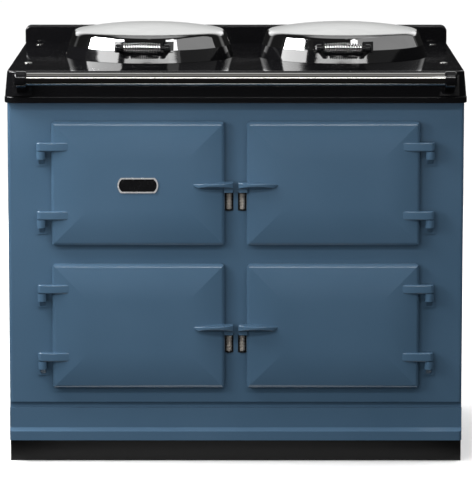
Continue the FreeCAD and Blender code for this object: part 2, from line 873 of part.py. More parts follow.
def bevel_height(u):
    """How far a door's face stands ahead of the front plate, at a distance in from its edge."""
    radius = (bevel_width ** 2 + pillow_rise ** 2) / (2 * pillow_rise)
    short = bevel_width - min(u, bevel_width)
    return door_wall + pillow_rise - radius + math.sqrt(radius ** 2 - short ** 2)


def pillow_edges(length, place):
    """The closed outline of a door's section; place turns distance along it and height into a point."""
    r = door_edge_round
    inset = r * (1 - math.sqrt(0.5))
    edges = []

    def line(a, b):
        edges.append(Part.LineSegment(place(*a), place(*b)).toShape())

    def arc(a, b, c):
        edges.append(Part.Arc(place(*a), place(*b), place(*c)).toShape())

    half = bevel_width / 2
    crown = door_wall + pillow_rise
    line((0, door_gap), (0, door_wall - r))
    arc((0, door_wall - r), (inset, bevel_height(inset) - inset), (r, bevel_height(r)))
    arc((r, bevel_height(r)), (half, bevel_height(half)), (bevel_width, crown))
    line((bevel_width, crown), (length - bevel_width, crown))
    arc((length - bevel_width, crown), (length - half, bevel_height(half)), (length - r, bevel_height(r)))
    arc((length - r, bevel_height(r)), (length - inset, bevel_height(inset) - inset), (length, door_wall - r))
    line((length, door_wall - r), (length, door_gap))
    line((length, door_gap), (0, door_gap))
    return edges


def pillow(bottom, top):
    """The outside of a right-hand door: a bevel on all four sides meets in mitres at the corners."""
    width = door_outer_x - door_inner_x
    height = top - bottom
    plan = face_of(pillow_edges(width, lambda u, h: V(door_inner_x + u, y_face - h, bottom)))
    side = face_of(pillow_edges(height, lambda u, h: V(door_inner_x, y_face - h, bottom + u)))
    crown = y_face - door_wall - pillow_rise
    corners = rounded_slab(
        door_inner_x, door_outer_x, bottom, top, crown - overlap, y_face - door_gap, door_corner
    )
    return plan.extrude(V(0, 0, height)).common(side.extrude(V(width, 0, 0))).common(corners)


def door_pocket(row, gap):
    """The hollow in a right-hand door's back, or what fills it with a gap all round."""
    bottom, top = door_rows[row]
    inset = door_shell + gap
    return rounded_slab(
        door_inner_x + inset, door_outer_x - inset, bottom + inset, top - inset,
        y_face - door_wall + door_shell, y_face - door_gap, door_corner,
    )


def hinge_lug(centre):
    """A strap on a right-hand door, from the knuckle on the hinge's axis in over the door's face."""
    low = V(0, 0, centre - lug_height / 2)
    tip_x = hinge_x - (lug_length - knuckle_radius)
    tip_in = door_outer_x - tip_x
    tip_y = y_face - bevel_height(tip_in)
    root_y = y_face - door_wall + door_shell / 2
    front = V(hinge_x, y_axis - knuckle_radius, 0)
    back = V(hinge_x, y_axis + knuckle_radius, 0)
    edges = [
        Part.Arc(front, V(hinge_x + knuckle_radius, y_axis, 0), back).toShape(),
        Part.LineSegment(back, V(door_outer_x - door_shell, back.y, 0)).toShape(),
        Part.LineSegment(V(door_outer_x - door_shell, back.y, 0), V(tip_x, root_y, 0)).toShape(),
        Part.LineSegment(V(tip_x, root_y, 0), V(tip_x, tip_y, 0)).toShape(),
        Part.Arc(
            V(tip_x, tip_y, 0), V((tip_x + hinge_x) / 2, (tip_y + front.y) / 2 - lug_bow, 0), front
        ).toShape(),
    ]
    strap = face_of(edges)
    strap.translate(low)
    strap = strap.extrude(V(0, 0, lug_height))
    foremost = y_axis - knuckle_radius + lug_front_band
    ends = [e for e in strap.Edges if e.BoundBox.ZLength < near and e.BoundBox.YMin < foremost]
    return strap.makeFillet(lug_edge_round, ends)


def lug_bore(centre):
    """The blind hole in a lug that its hinge pin stands up into."""
    return Part.makeCylinder(
        pin_radius + running_clearance, lug_height - pin_cover, V(hinge_x, y_axis, centre - lug_height / 2)
    )


def handle(row):
    """A wedge of a blade across a right-hand door's free edge, from a tip to a nose over the stile."""
    z = handle_z(row)
    root_x = door_inner_x + handle_inner
    crest = y_face - door_wall - handle_proud
    nose_front = crest + handle_nose_back
    root_y = y_face - bevel_height(handle_inner) + handle_sink
    crest_x = door_inner_x + handle_crest_in
    nose_back = y_face - nose_standoff
    nose_corner = V(handle_nose_x, nose_back, 0)
    shell_corner = V(door_inner_x + door_shell, nose_back, 0)
    outline = [
        Part.LineSegment(nose_corner, V(handle_nose_x, nose_front, 0)).toShape(),
        Part.Arc(V(handle_nose_x, nose_front, 0), V(crest_x, crest, 0), V(root_x, root_y, 0)).toShape(),
        Part.LineSegment(V(root_x, root_y, 0), shell_corner).toShape(),
        Part.LineSegment(shell_corner, nose_corner).toShape(),
    ]
    blade = face_of(outline)
    blade.translate(V(0, 0, z - nose_drop))
    blade = blade.extrude(V(0, 0, 2 * nose_drop))
    far = y_face - door_wall - 2 * handle_proud
    tip_x = root_x + overlap
    tip_z = z - handle_tip_drop
    from_front = [
        V(0, far, z - handle_front_keel),
        V(0, far, z + handle_top),
        V(door_inner_x + handle_upper_taper, far, z + handle_top),
        V(tip_x, far, tip_z + handle_tip / 2),
        V(tip_x, far, tip_z - handle_tip / 2),
        V(door_inner_x + handle_lower_taper, far, z - handle_keel),
    ]
    wall_y = y_face - door_wall
    from_side = [
        V(0, nose_back, z + handle_top),
        V(0, wall_y, z + handle_top),
        V(0, crest - overlap, z + handle_front_top),
        V(0, crest - overlap, z - handle_front_bottom),
        V(0, wall_y, z - handle_keel),
        V(0, nose_back, z - handle_keel),
    ]
    blade = blade.common(extruded(from_front, V(0, 1, 0), 3 * handle_proud))
    blade = blade.common(extruded(from_side, V(1, 0, 0), 2 * root_x))
    front_edges = [e for e in blade.Edges if isinstance(e.Curve, Part.Ellipse)]
    blade = blade.makeFillet(handle_edge_round, front_edges)
    nose_end = handle_nose_x + nose_width
    nose = box(handle_nose_x, nose_end, nose_front + nose_recess, nose_back, z - nose_drop, z)
    return fuse([blade, nose])


def door(row, side):
    """One door casting: its pillow face, two hinge lugs and a handle, hollow behind."""
    bottom, top = door_rows[row]
    lugs = [hinge_lug(z) for z in lug_centres(row)]
    casting = fuse([pillow(bottom, top), handle(row)] + lugs)
    casting = cut(casting, [door_pocket(row, 0)] + [lug_bore(z) for z in lug_centres(row)])
    return casting if side == "right" else mirrored(casting)


def plug(row, side):
    """The insulating plug of a door: it fills the door's hollow and stands into the mouth."""
    z0, z1 = mouth_span(row)
    c = plug_clearance
    tongue = rounded_slab(
        mouth_inner_x + c, mouth_outer_x - c, z0 + c, z1 - c,
        y_face - door_gap - overlap, y_face + plug_depth, mouth_corner,
    )
    whole = fuse([door_pocket(row, seat_gap), tongue])
    return whole if side == "right" else mirrored(whole)


def seal(row, side):
    """The rope seal on a plug, all round the mouth."""
    z0, z1 = mouth_span(row)
    ring = slab_with_hole(
        mouth_inner_x - seal_inset, mouth_outer_x + seal_inset, z0 - seal_inset, z1 + seal_inset,
        y_face - door_gap, y_face - seal_relief, seal_width, mouth_corner,
    )
    return ring if side == "right" else mirrored(ring)


def badge():
    """A bare plate with bowed ends and a raised rim, on the top left door."""
    y1 = y_face - door_wall - pillow_rise
    badge_x = -(door_inner_x + door_outer_x) / 2
    badge_z = handle_z("top") - badge_drop

    def outline(inset, y):
        x = badge_width / 2 - badge_side_bow - inset
        z = badge_height / 2 - inset
        bow = x + badge_side_bow
        corners = [V(badge_x + i * x, y, badge_z + k * z) for i, k in ((-1, -1), (-1, 1), (1, 1), (1, -1))]
        left = Part.Arc(corners[0], V(badge_x - bow, y, badge_z), corners[1])
        top = Part.LineSegment(corners[1], corners[2])
        right = Part.Arc(corners[2], V(badge_x + bow, y, badge_z), corners[3])
        bottom = Part.LineSegment(corners[3], corners[0])
        return face_of([curve.toShape() for curve in (left, top, right, bottom)])

    plate = outline(0, y1 - badge_thickness).extrude(V(0, badge_thickness, 0))
    field = outline(badge_rim, y1 - badge_thickness).extrude(V(0, badge_thickness / 2, 0))
    return cut(plate, [field])


# ---- lids ----

def lid_radius(height):
    """Radius of a lid's side at a height above the hob, up to its shoulder."""
    if height < lid_seam_height:
        share = height / lid_seam_height
        return lid_base_radius + (lid_seam_radius - lid_base_radius) * share
    share = (height - lid_seam_height) / (lid_shoulder_height - lid_seam_height)
    return lid_seam_radius + (lid_shoulder_radius - lid_seam_radius) * share


def lid_body(x, grow):
    """Everything inside a lid's outer surface, moved out by grow, standing from the hob up."""
    shoulder = V(lid_shoulder_radius + grow, 0, lid_shoulder_height + grow)
    seam = V(lid_seam_radius + grow, 0, lid_seam_height)
    base = V(lid_base_radius + grow, 0, 0)
    crown = V(0, 0, lid_crown_height + grow)
    rise = crown.z - shoulder.z
    radius = (shoulder.x ** 2 + rise ** 2) / (2 * rise)
    r = lid_shoulder_round

    def on_crown(distance):
        return V(distance, 0, crown.z - radius + math.sqrt(radius ** 2 - distance ** 2))

    down = (seam - shoulder).normalize()
    inward = (on_crown(shoulder.x - r) - shoulder).normalize()
    half = down.getAngle(inward) / 2
    start = shoulder + down * r
    end = on_crown(shoulder.x - r)
    bend = shoulder + ((start + end) * 0.5 - shoulder) * (1 / (1 + math.sin(half)))
    edges = [
        Part.LineSegment(V(0, 0, 0), base).toShape(),
        Part.LineSegment(base, seam).toShape(),
        Part.LineSegment(seam, start).toShape(),
        Part.Arc(start, bend, end).toShape(),
        Part.Arc(end, on_crown(end.x / 2), crown).toShape(),
        Part.LineSegment(crown, V(0, 0, 0)).toShape(),
    ]
    body = face_of(edges).revolve(V(0, 0, 0), V(0, 0, 1), 360)
    body.translate(V(x, y_lid, hob_height))
    return body


def lid_slice(x, low, high):
    """A box round a lid between two heights above the hob."""
    r = lid_base_radius + lid_hinge_reach
    return box(x - r, x + r, y_lid - r, y_lid + r, hob_height + low, hob_height + high)


def lid_dome(x):
    """The domed shell above the seam."""
    part = lid_slice(x, lid_seam_height, lid_crown_height + overlap)
    return cut(lid_body(x, 0).common(part), [lid_body(x, -lid_shell)])


def lid_base_ring(x):
    """The ring below the seam that rests on the hob."""
    part = lid_slice(x, lid_lift, lid_seam_height)
    return cut(lid_body(x, 0).common(part), [lid_body(x, -ring_shell)])


def lid_liner(x):
    """The insulating pad under the dome, with a flange that seats in the base ring."""
    low = hob_height + hotplate_proud + liner_gap
    top = hob_height + lid_seam_height
    pad = Part.makeCylinder(liner_radius, top - low, V(x, y_lid, low))
    foot = [e for e in pad.Edges if e.BoundBox.ZMax < low + near]
    pad = pad.makeFillet(liner_round, foot)
    flange = Part.makeCylinder(lid_radius(lid_seam_height) - ring_shell - seat_gap, liner_flange,
                               V(x, y_lid, top - liner_flange))
    return fuse([pad, flange])


def fitted(shape, x):
    """The shape with the lid's own space taken out, so that it seats on the lid's side."""
    return cut(shape, [lid_body(x, seat_gap)])


def side_pad(x, low, high, half_width, facing):
    """A plate that follows a lid's side; facing is -1 at the front and 1 at the rear."""
    r = lid_base_radius + lid_hinge_reach
    window = box(
        x - half_width, x + half_width, y_lid, y_lid + facing * r, hob_height + low, hob_height + high
    )
    return fitted(lid_body(x, seat_gap + pad_thickness).common(window), x)


def handle_axis_y():
    """Where a lid handle's axis is."""
    return y_lid - lid_radius(handle_height) - handle_reach


def lid_handle(x):
    """Two arms on the lid's side that carry a rod; the coil winds round the rod."""
    y = handle_axis_y()
    z = hob_height + handle_height
    reach = coil_length / 2 + overlap
    parts = [rod(V(x - reach, y, z), V(x + reach, y, z), handle_rod_radius)]
    half = handle_end_length / 2
    for side in (-1, 1):
        middle = x + side * (coil_length / 2 + half)
        boss = rod(V(middle - half, y, z), V(middle + half, y, z), handle_end_radius)
        ends = [e for e in boss.Edges if abs(e.BoundBox.XMin - middle - side * half) < near]
        boss = boss.makeFillet(boss_round, [e for e in ends if e.BoundBox.XLength < near])
        arm = box(middle - half, middle + half, y, y_lid - lid_shoulder_radius + arm_root,
                  z - handle_end_radius, z + handle_arm_top)
        window = box(
            middle - half - pad_side, middle + half + pad_side, y_lid - 2 * lid_base_radius, y_lid,
            z - handle_pad_height / 2, z + handle_pad_height / 2,
        )
        pad = fitted(lid_body(x, seat_gap + pad_thickness).common(window), x)
        parts += [boss, fitted(arm, x), pad]
    return fuse(parts)


def lid_hinge_y():
    """Where the lids' hinge axis is."""
    return y_lid + lid_base_radius + lid_hinge_reach


def lid_hinge_arm(x):
    """The arm at a lid's rear, with the barrel that turns on the hinge pin."""
    y = lid_hinge_y()
    z = hob_height + lid_hinge_height
    half = lid_barrel_length / 2
    barrel = rod(V(x - half, y, z), V(x + half, y, z), lid_barrel_radius)
    root_y = y_lid + lid_shoulder_radius - arm_root
    arm = box(x - half, x + half, root_y, y, z - lid_barrel_radius, z + lid_barrel_radius)
    low = lid_hinge_height - lid_barrel_radius
    pad = side_pad(x, low, lid_hinge_height + lid_barrel_radius + pad_side, half + pad_side, 1)
    bore = rod(V(x - half, y, z), V(x + half, y, z), lid_pin_radius + running_clearance)
    return cut(fuse([fitted(arm, x), pad, barrel]), [bore])


def lid_hinge_blocks():
    """On the hob behind each lid, a foot with two ears that hold the hinge pin."""
    blocks = []
    y = lid_hinge_y()
    z = hob_height + lid_hinge_height
    inner = lid_barrel_length / 2 + thrust_gap
    for x in lid_x:
        foot = box(x - hinge_foot_length / 2, x + hinge_foot_length / 2, y, y + hinge_foot_depth,
                   hob_height, hob_height + hinge_foot_thickness)
        parts = [foot]
        for side in (-1, 1):
            ear_x = x + side * (inner + ear_thickness / 2)
            half = ear_thickness / 2
            parts.append(rod(V(ear_x - half, y, z), V(ear_x + half, y, z), lid_barrel_radius))
            parts.append(extruded([
                V(ear_x - half, y - lid_barrel_radius, z),
                V(ear_x - half, y, hob_height),
                V(ear_x - half, y + hinge_foot_depth, hob_height),
                V(ear_x - half, y + lid_barrel_radius, z),
            ], V(1, 0, 0), ear_thickness))
        bore = rod(V(x - hinge_foot_length, y, z), V(x + hinge_foot_length, y, z), lid_pin_radius)
        blocks.append(cut(fuse(parts), [bore]))
    return group(blocks)


def lid_hinge_pins():
    """The pins, each held in its two ears."""
    half = lid_barrel_length / 2 + thrust_gap + ear_thickness
    y = lid_hinge_y()
    z = hob_height + lid_hinge_height
    return group([rod(V(x - half, y, z), V(x + half, y, z), lid_pin_radius) for x in lid_x])


# ---- coil round a lid handle ----

def coil_point(turn):
    """A point on the coil's centre line, and the way it runs there; turn counts turns from the left end."""
    along = (coil_length - 2 * coil_straight) / coil_turns
    share = turn / coil_turns
    radius = coil_end_radius + (coil_middle_radius - coil_end_radius) * math.sin(math.pi * share)
    growth = (coil_middle_radius - coil_end_radius) * math.pi / coil_turns * math.cos(math.pi * share)
    angle = 2 * math.pi * turn
    x = coil_straight - coil_length / 2 + along * turn
    point = V(x, radius * math.cos(angle), radius * math.sin(angle))
    way = V(
        along,
        growth * math.cos(angle) - 2 * math.pi * radius * math.sin(angle),
        growth * math.sin(angle) + 2 * math.pi * radius * math.cos(angle),
    )
    return point, way.normalize()


def biarc(start, leaving, end, arriving):
    """Two arcs that meet smoothly and join two points along the given directions."""
    chord = end - start
    both = leaving + arriving
    spread = 2 * (1 - leaving.dot(arriving))
    reach = -chord.dot(both) + math.sqrt(chord.dot(both) ** 2 + spread * chord.dot(chord))
    handle_length = reach / spread
    corner = start + leaving * handle_length
    other = end - arriving * handle_length
    middle = (corner + other) * 0.5
    return [arc_past(start, corner, middle), arc_past(middle, other, end)]


def arc_past(start, corner, end):
    """The arc from start to end whose end tangents meet at the corner."""
    foot = (start + end) * 0.5
    rise = corner - foot
    bend = math.atan2(rise.Length, (end - start).Length / 2)
    return Part.Arc(start, foot + rise * (math.tan(bend / 2) / math.tan(bend)), end).toShape()


def coil_path():
    """The coil's centre line: a straight end, half turns of the helix as biarcs, and a straight end."""
    stations = [coil_point(i / 2) for i in range(2 * coil_turns + 1)]
    ends = []
    for sign, (point, _) in ((-1, stations[0]), (1, stations[-1])):
        outer = V(sign * coil_length / 2, 0, 0) + V(0, point.y, point.z)
        ends.append((outer, outer - V(sign * coil_wire, 0, 0)))
    along = V(1, 0, 0)
    first = (ends[0][1], along)
    last = (ends[1][1], along)
    edges = [Part.LineSegment(ends[0][0], ends[0][1]).toShape()]
    chain = [first] + stations + [last]
    for (a, way_a), (b, way_b) in zip(chain, chain[1:]):
        edges += biarc(a, way_a, b, way_b)
    edges.append(Part.LineSegment(ends[1][1], ends[1][0]).toShape())
    return Part.Wire(edges)


def least_coil_gap(path):
    """The least space between the wire and itself, measured between points that are a turn or so apart."""
    points = path.discretize(Number=coil_turns * points_per_turn)
    skip = points_per_turn // 2
    least = coil_length
    for i, a in enumerate(points):
        for b in points[i + skip:i + 2 * points_per_turn]:
            least = min(least, (a - b).Length)
    return least - coil_wire


def lid_coil(x):
    """The wire coil of a lid handle, one unbroken tube."""
    path = coil_path()
    start = path.Edges[0].valueAt(path.Edges[0].FirstParameter)
    tube = tube_along(path, start, V(1, 0, 0), coil_wire / 2)
    expected = math.pi * (coil_wire / 2) ** 2 * path.Length
    print("coil: least gap to itself %.2f, volume %.3f of section times length"
          % (least_coil_gap(path), tube.Volume / expected))
    tube.translate(V(x, handle_axis_y(), hob_height + handle_height))
    return tube


def turned(shape, x, degrees):
    """The shape turned about a lid's upright axis."""
    shape.rotate(V(x, y_lid, 0), V(0, 0, 1), degrees)
    return shape


def main():
    """Builds every node."""
    os.makedirs("parts", exist_ok=True)
    save("plinth", plinth())
    save("levelling_feet", levelling_feet())
    save("base_plate", base_plate())
    save("skirt", skirt())
    save("front_plate", front_plate())
    save("door_hinge_pins", hinge_pins())
    save("catch_housings", catch_housings())
    save("side_panel_right", side_panel())
    save("side_panel_left", mirrored(side_panel()))
    save("back_panel", back_panel())
    save("top_plate", top_plate())
    save("rear_upstand", rear_upstand())
    save("hotplate_rings", hotplate_rings())
    save("heater_pans", heater_pans())
    save("insulation", insulation())
    save("hand_rail", hand_rail())
    save("rail_bracket_right", rail_bracket())
    save("rail_bracket_left", mirrored(rail_bracket()))
    save("control_box", control_box())
    for number in range(knob_count):
        save("control_knob_%d" % (number + 1), knob(number))
    for row in door_rows:
        for side in sides:
            place = row + "_" + side
            save("door_" + place, door(row, side))
            save("door_plug_" + place, plug(row, side))
            save("door_seal_" + place, seal(row, side))
            save("catch_roller_" + place, catch_roller(row, side))
    for row, side in oven_places:
        save("oven_" + row + "_" + side, oven(row, side))
    save("oven_shelves", group([shelf(row, side) for row, side in oven_places]))
    save("badge_plate", badge())
    save("lid_hinge_blocks", lid_hinge_blocks())
    save("lid_hinge_pins", lid_hinge_pins())
    for side, x, turn in zip(sides, lid_x, lid_handle_turn):
        save("hotplate_" + side, hotplate(x))
        save("lid_dome_" + side, lid_dome(x))
        save("lid_base_ring_" + side, lid_base_ring(x))
        save("lid_liner_" + side, lid_liner(x))
        save("lid_hinge_arm_" + side, lid_hinge_arm(x))
        save("lid_handle_" + side, turned(lid_handle(x), x, turn))
        save("lid_coil_" + side, turned(lid_coil(x), x, turn))


main()
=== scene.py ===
"""Looks for the cast iron range cooker: materials, small fasteners, studio and camera. Metres."""
import json
import math

import bmesh
import bpy
from mathutils import Matrix, Vector


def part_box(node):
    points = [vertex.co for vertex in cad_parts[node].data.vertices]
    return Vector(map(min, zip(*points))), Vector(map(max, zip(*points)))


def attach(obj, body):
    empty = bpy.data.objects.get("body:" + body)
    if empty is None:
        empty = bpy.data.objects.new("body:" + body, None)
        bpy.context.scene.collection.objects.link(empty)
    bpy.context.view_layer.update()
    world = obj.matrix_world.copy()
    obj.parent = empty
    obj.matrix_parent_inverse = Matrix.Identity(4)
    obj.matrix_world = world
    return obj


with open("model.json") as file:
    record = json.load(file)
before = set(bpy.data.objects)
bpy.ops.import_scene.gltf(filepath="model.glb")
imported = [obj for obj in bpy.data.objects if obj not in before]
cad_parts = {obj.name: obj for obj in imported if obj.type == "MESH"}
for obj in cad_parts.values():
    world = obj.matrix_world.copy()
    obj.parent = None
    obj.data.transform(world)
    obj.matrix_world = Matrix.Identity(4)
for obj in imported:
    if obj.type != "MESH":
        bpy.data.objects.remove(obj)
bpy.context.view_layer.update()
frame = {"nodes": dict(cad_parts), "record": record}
nodes = frame["nodes"]
scene = bpy.context.scene
scene.view_settings.view_transform = "Standard"


# ---- node helpers ----

class Shader:
    """A Principled material whose sockets can be driven by procedural patterns in the part's own space."""

    def __init__(self, name, colour, **constants):
        self.material = bpy.data.materials.new(name)
        self.material.use_nodes = True
        self.tree = self.material.node_tree
        self.bsdf = self.tree.nodes["Principled BSDF"]
        self.bsdf.inputs["Base Color"].default_value = (*colour, 1.0)
        for socket, value in constants.items():
            self.bsdf.inputs[socket.replace("_", " ").title().replace("Ior", "IOR")].default_value = value
        self.place = self.tree.nodes.new("ShaderNodeTexCoord").outputs["Object"]
        self.normal = None

    def node(self, kind, inputs=None, **settings):
        """A new node with its settings, and its inputs linked or set."""
        made = self.tree.nodes.new("ShaderNode" + kind)
        for key, value in settings.items():
            setattr(made, key, value)
        for key, value in (inputs or {}).items():
            if isinstance(value, bpy.types.NodeSocket):
                self.tree.links.new(value, made.inputs[key])
            else:
                made.inputs[key].default_value = value
        return made

    def stretched(self, scale):
        """The part's own space, scaled differently along each axis."""
        return self.node("Mapping", {"Vector": self.place, "Scale": scale}).outputs["Vector"]

    def noise(self, scale, detail=2.0, roughness=0.5, where=None, distortion=0.0):
        """Soft noise from 0 to 1, with its features about 1 / scale metres across."""
        return self.node("TexNoise", {
            "Vector": where or self.place, "Scale": scale, "Detail": detail,
            "Roughness": roughness, "Distortion": distortion,
        }).outputs["Fac"]

    def ramp(self, fac, low, high, start, end):
        """The value turned into the range from start to end as fac goes from low to high."""
        return self.node("MapRange", {
            "Value": fac, "From Min": low, "From Max": high, "To Min": start, "To Max": end,
        }).outputs["Result"]

    def math(self, operation, a, b=0.0):
        """One arithmetic step."""
        return self.node("Math", {0: a, 1: b}, operation=operation).outputs[0]

    def blend(self, fac, first, second):
        """A colour between two, which may be colours or sockets."""
        made = self.node("Mix", {"Factor": fac}, data_type="RGBA")
        for socket, value in zip([s for s in made.inputs if s.type == "RGBA"], (first, second)):
            if isinstance(value, bpy.types.NodeSocket):
                self.tree.links.new(value, socket)
            else:
                socket.default_value = (*value, 1.0)
        return next(s for s in made.outputs if s.type == "RGBA")

    def drive(self, socket, value):
        """Links a pattern to one of the shader's sockets."""
        self.tree.links.new(value, self.bsdf.inputs[socket])

    def bump(self, height, depth, strength=1.0):
        """Adds relief whose full height is depth metres."""
        inputs = {"Height": height, "Distance": depth, "Strength": strength}
        if self.normal is not None:
            inputs["Normal"] = self.normal
        self.normal = self.node("Bump", inputs).outputs["Normal"]
        self.drive("Normal", self.normal)


def tint(colour, factor):
    """A colour made lighter or darker."""
    return tuple(min(1.0, c * factor) for c in colour)


# ---- materials ----

def vitreous_enamel(name, colour, deep, roughness):
    """Thick glossy enamel on iron: a slight orange peel, slow pooling of the colour and fine specks."""
    s = Shader(name, colour, specular_ior_level=0.5, coat_weight=0.5, coat_roughness=0.04)
    pooled = s.ramp(s.noise(4.0, 3.0), 0.3, 0.7, 0.0, 1.0)
    specks = s.ramp(s.noise(1400.0, 1.0), 0.62, 0.75, 0.0, 0.25)
    s.drive("Base Color", s.blend(specks, s.blend(pooled, colour, deep), tint(colour, 1.5)))
    s.drive("Roughness", s.ramp(s.noise(22.0, 4.0), 0.3, 0.7, roughness * 0.85, roughness * 1.15))
    s.bump(s.noise(160.0, 2.0), 0.00006, 0.5)
    s.bump(s.noise(9.0, 2.0), 0.0009, 0.35)
    return s.material


def black_enamel(name, roughness, lumps):
    """High gloss black enamel, with the faint swell of the casting below it."""
    s = Shader(name, (0.004, 0.004, 0.0045), specular_ior_level=0.5)
    dust = s.ramp(s.noise(900.0, 2.0), 0.66, 0.8, 0.0, 0.12)
    s.drive("Base Color", s.blend(dust, (0.004, 0.004, 0.0045), (0.03, 0.03, 0.032)))
    s.drive("Roughness", s.ramp(s.noise(15.0, 4.0), 0.3, 0.7, roughness * 0.7, roughness * 1.3))
    s.bump(s.noise(11.0, 2.0), lumps, 0.5)
    s.bump(s.noise(240.0, 2.0), 0.00003, 0.5)
    return s.material


def polished_metal(name, colour, roughness, along):
    """Polished steel with fine lines, scaled by along on each axis, and faint smears."""
    s = Shader(name, colour, metallic=1.0)
    lines = s.noise(1.0, 3.0, where=s.stretched(along))
    smears = s.noise(12.0, 4.0, distortion=1.5)
    s.drive("Base Color", s.blend(s.ramp(smears, 0.35, 0.75, 0.0, 0.35), colour, tint(colour, 0.9)))
    s.drive("Roughness", s.math("ADD", s.ramp(lines, 0.3, 0.7, roughness * 0.6, roughness), s.ramp(
        smears, 0.45, 0.8, 0.0, roughness * 0.7)))
    s.bump(lines, 0.000004, 0.6)
    return s.material


def chrome_plate(name, crown_start, rail_end):
    """Bright plating: satin above crown_start, mirror bright below it, brushed steel below rail_end."""
    s = Shader(name, (0.82, 0.82, 0.82), metallic=1.0)
    crown_fade = 0.003
    rail_fade = 0.002
    height = s.node("SeparateXYZ", {"Vector": s.place}).outputs["Z"]
    crown = s.ramp(height, crown_start, crown_start + crown_fade, 0.0, 1.0)
    rail = s.ramp(height, rail_end, rail_end + rail_fade, 1.0, 0.0)
    lines = s.noise(1.0, 3.0, where=s.stretched((5.0, 260.0, 260.0)))
    smears = s.ramp(s.noise(12.0, 4.0, distortion=1.5), 0.35, 0.75, 0.0, 1.0)
    mirror = s.blend(smears, (0.82, 0.82, 0.82), (0.76, 0.76, 0.76))
    satin = s.blend(smears, (0.83, 0.84, 0.83), (0.78, 0.79, 0.78))
    s.drive("Base Color", s.blend(rail, s.blend(crown, mirror, satin), (0.50, 0.49, 0.465)))
    roughness = s.ramp(lines, 0.3, 0.7, 0.03, 0.05)
    for where, added in ((smears, 0.02), (crown, 0.3), (rail, 0.08)):
        roughness = s.math("ADD", roughness, s.math("MULTIPLY", where, added))
    s.drive("Roughness", roughness)
    s.bump(lines, 0.000004, 0.6)
    return s.material


def worn_steel(name, colour):
    """Bare steel dulled by use, brownish, with random darker and lighter patches."""
    s = Shader(name, colour, metallic=0.6)
    wear = s.ramp(s.noise(90.0, 4.0, 0.6), 0.3, 0.7, 0.0, 1.0)
    s.drive("Base Color", s.blend(wear, tint(colour, 0.8), tint(colour, 1.15)))
    s.drive("Roughness", s.ramp(wear, 0.0, 1.0, 0.45, 0.32))
    s.bump(s.noise(600.0, 2.0), 0.00002, 0.6)
    return s.material


def badge_finish(name, field_start):
    """A pale satin rim round a bare black field, which lies deeper than field_start."""
    s = Shader(name, (0.7, 0.7, 0.7), metallic=0.5)
    fade = 0.0003
    depth = s.node("SeparateXYZ", {"Vector": s.place}).outputs["Y"]
    field = s.ramp(depth, field_start, field_start + fade, 0.0, 1.0)
    haze = s.noise(150.0, 3.0)
    rim = s.blend(haze, (0.62, 0.62, 0.62), (0.78, 0.78, 0.78))
    black = s.blend(haze, (0.008, 0.008, 0.009), (0.014, 0.014, 0.015))
    s.drive("Base Color", s.blend(field, rim, black))
    s.drive("Roughness", s.ramp(haze, 0.3, 0.7, 0.2, 0.3))
    s.bump(haze, 0.00001, 0.5)
    return s.material


def sheet_metal(name, colour, roughness, spangle, contrast):
    """Coated sheet: crystal spangle cells, each with its own shade and gloss."""
    s = Shader(name, colour, metallic=0.55)
    cells = s.node("TexVoronoi", {"Vector": s.place, "Scale": spangle, "Randomness": 1.0})
    shade = s.node("SeparateColor", {"Color": cells.outputs["Color"]}).outputs["Red"]
    grime = s.noise(6.0, 4.0)
    mixed = s.blend(shade, tint(colour, 1.0 - contrast), tint(colour, 1.0 + contrast))
    s.drive("Base Color", s.blend(s.ramp(grime, 0.5, 0.8, 0.0, 0.35), mixed, tint(colour, 0.6)))
    s.drive("Roughness", s.ramp(shade, 0.0, 1.0, roughness * 0.8, roughness * 1.2))
    s.bump(s.noise(300.0, 2.0), 0.00002, 0.6)
    return s.material


def raw_casting(name, colour, roughness):
    """Sand-cast iron with grain and random darker and lighter patches."""
    s = Shader(name, colour, metallic=0.35)
    grain = s.noise(420.0, 6.0, 0.7)
    patches = s.ramp(s.noise(7.0, 4.0), 0.35, 0.7, 0.0, 1.0)
    s.drive("Base Color", s.blend(patches, tint(colour, 0.75), tint(colour, 1.35)))
    s.drive("Roughness", s.ramp(grain, 0.3, 0.7, roughness * 0.85, min(1.0, roughness * 1.15)))
    s.bump(grain, 0.0002, 0.6)
    return s.material


def speckled_enamel(name, colour):
    """Dark oven enamel with pale flecks."""
    s = Shader(name, colour, specular_ior_level=0.5)
    cells = s.node("TexVoronoi", {"Vector": s.place, "Scale": 260.0, "Randomness": 1.0}).outputs["Distance"]
    flecks = s.ramp(cells, 0.10, 0.18, 1.0, 0.0)
    cloudy = s.ramp(s.noise(5.0, 4.0), 0.35, 0.7, 0.0, 1.0)
    s.drive("Base Color", s.blend(flecks, s.blend(cloudy, colour, tint(colour, 0.6)), (0.16, 0.155, 0.15)))
    s.drive("Roughness", s.ramp(s.noise(18.0, 4.0), 0.3, 0.7, 0.28, 0.5))
    s.bump(s.noise(90.0, 3.0), 0.0003, 0.4)
    return s.material


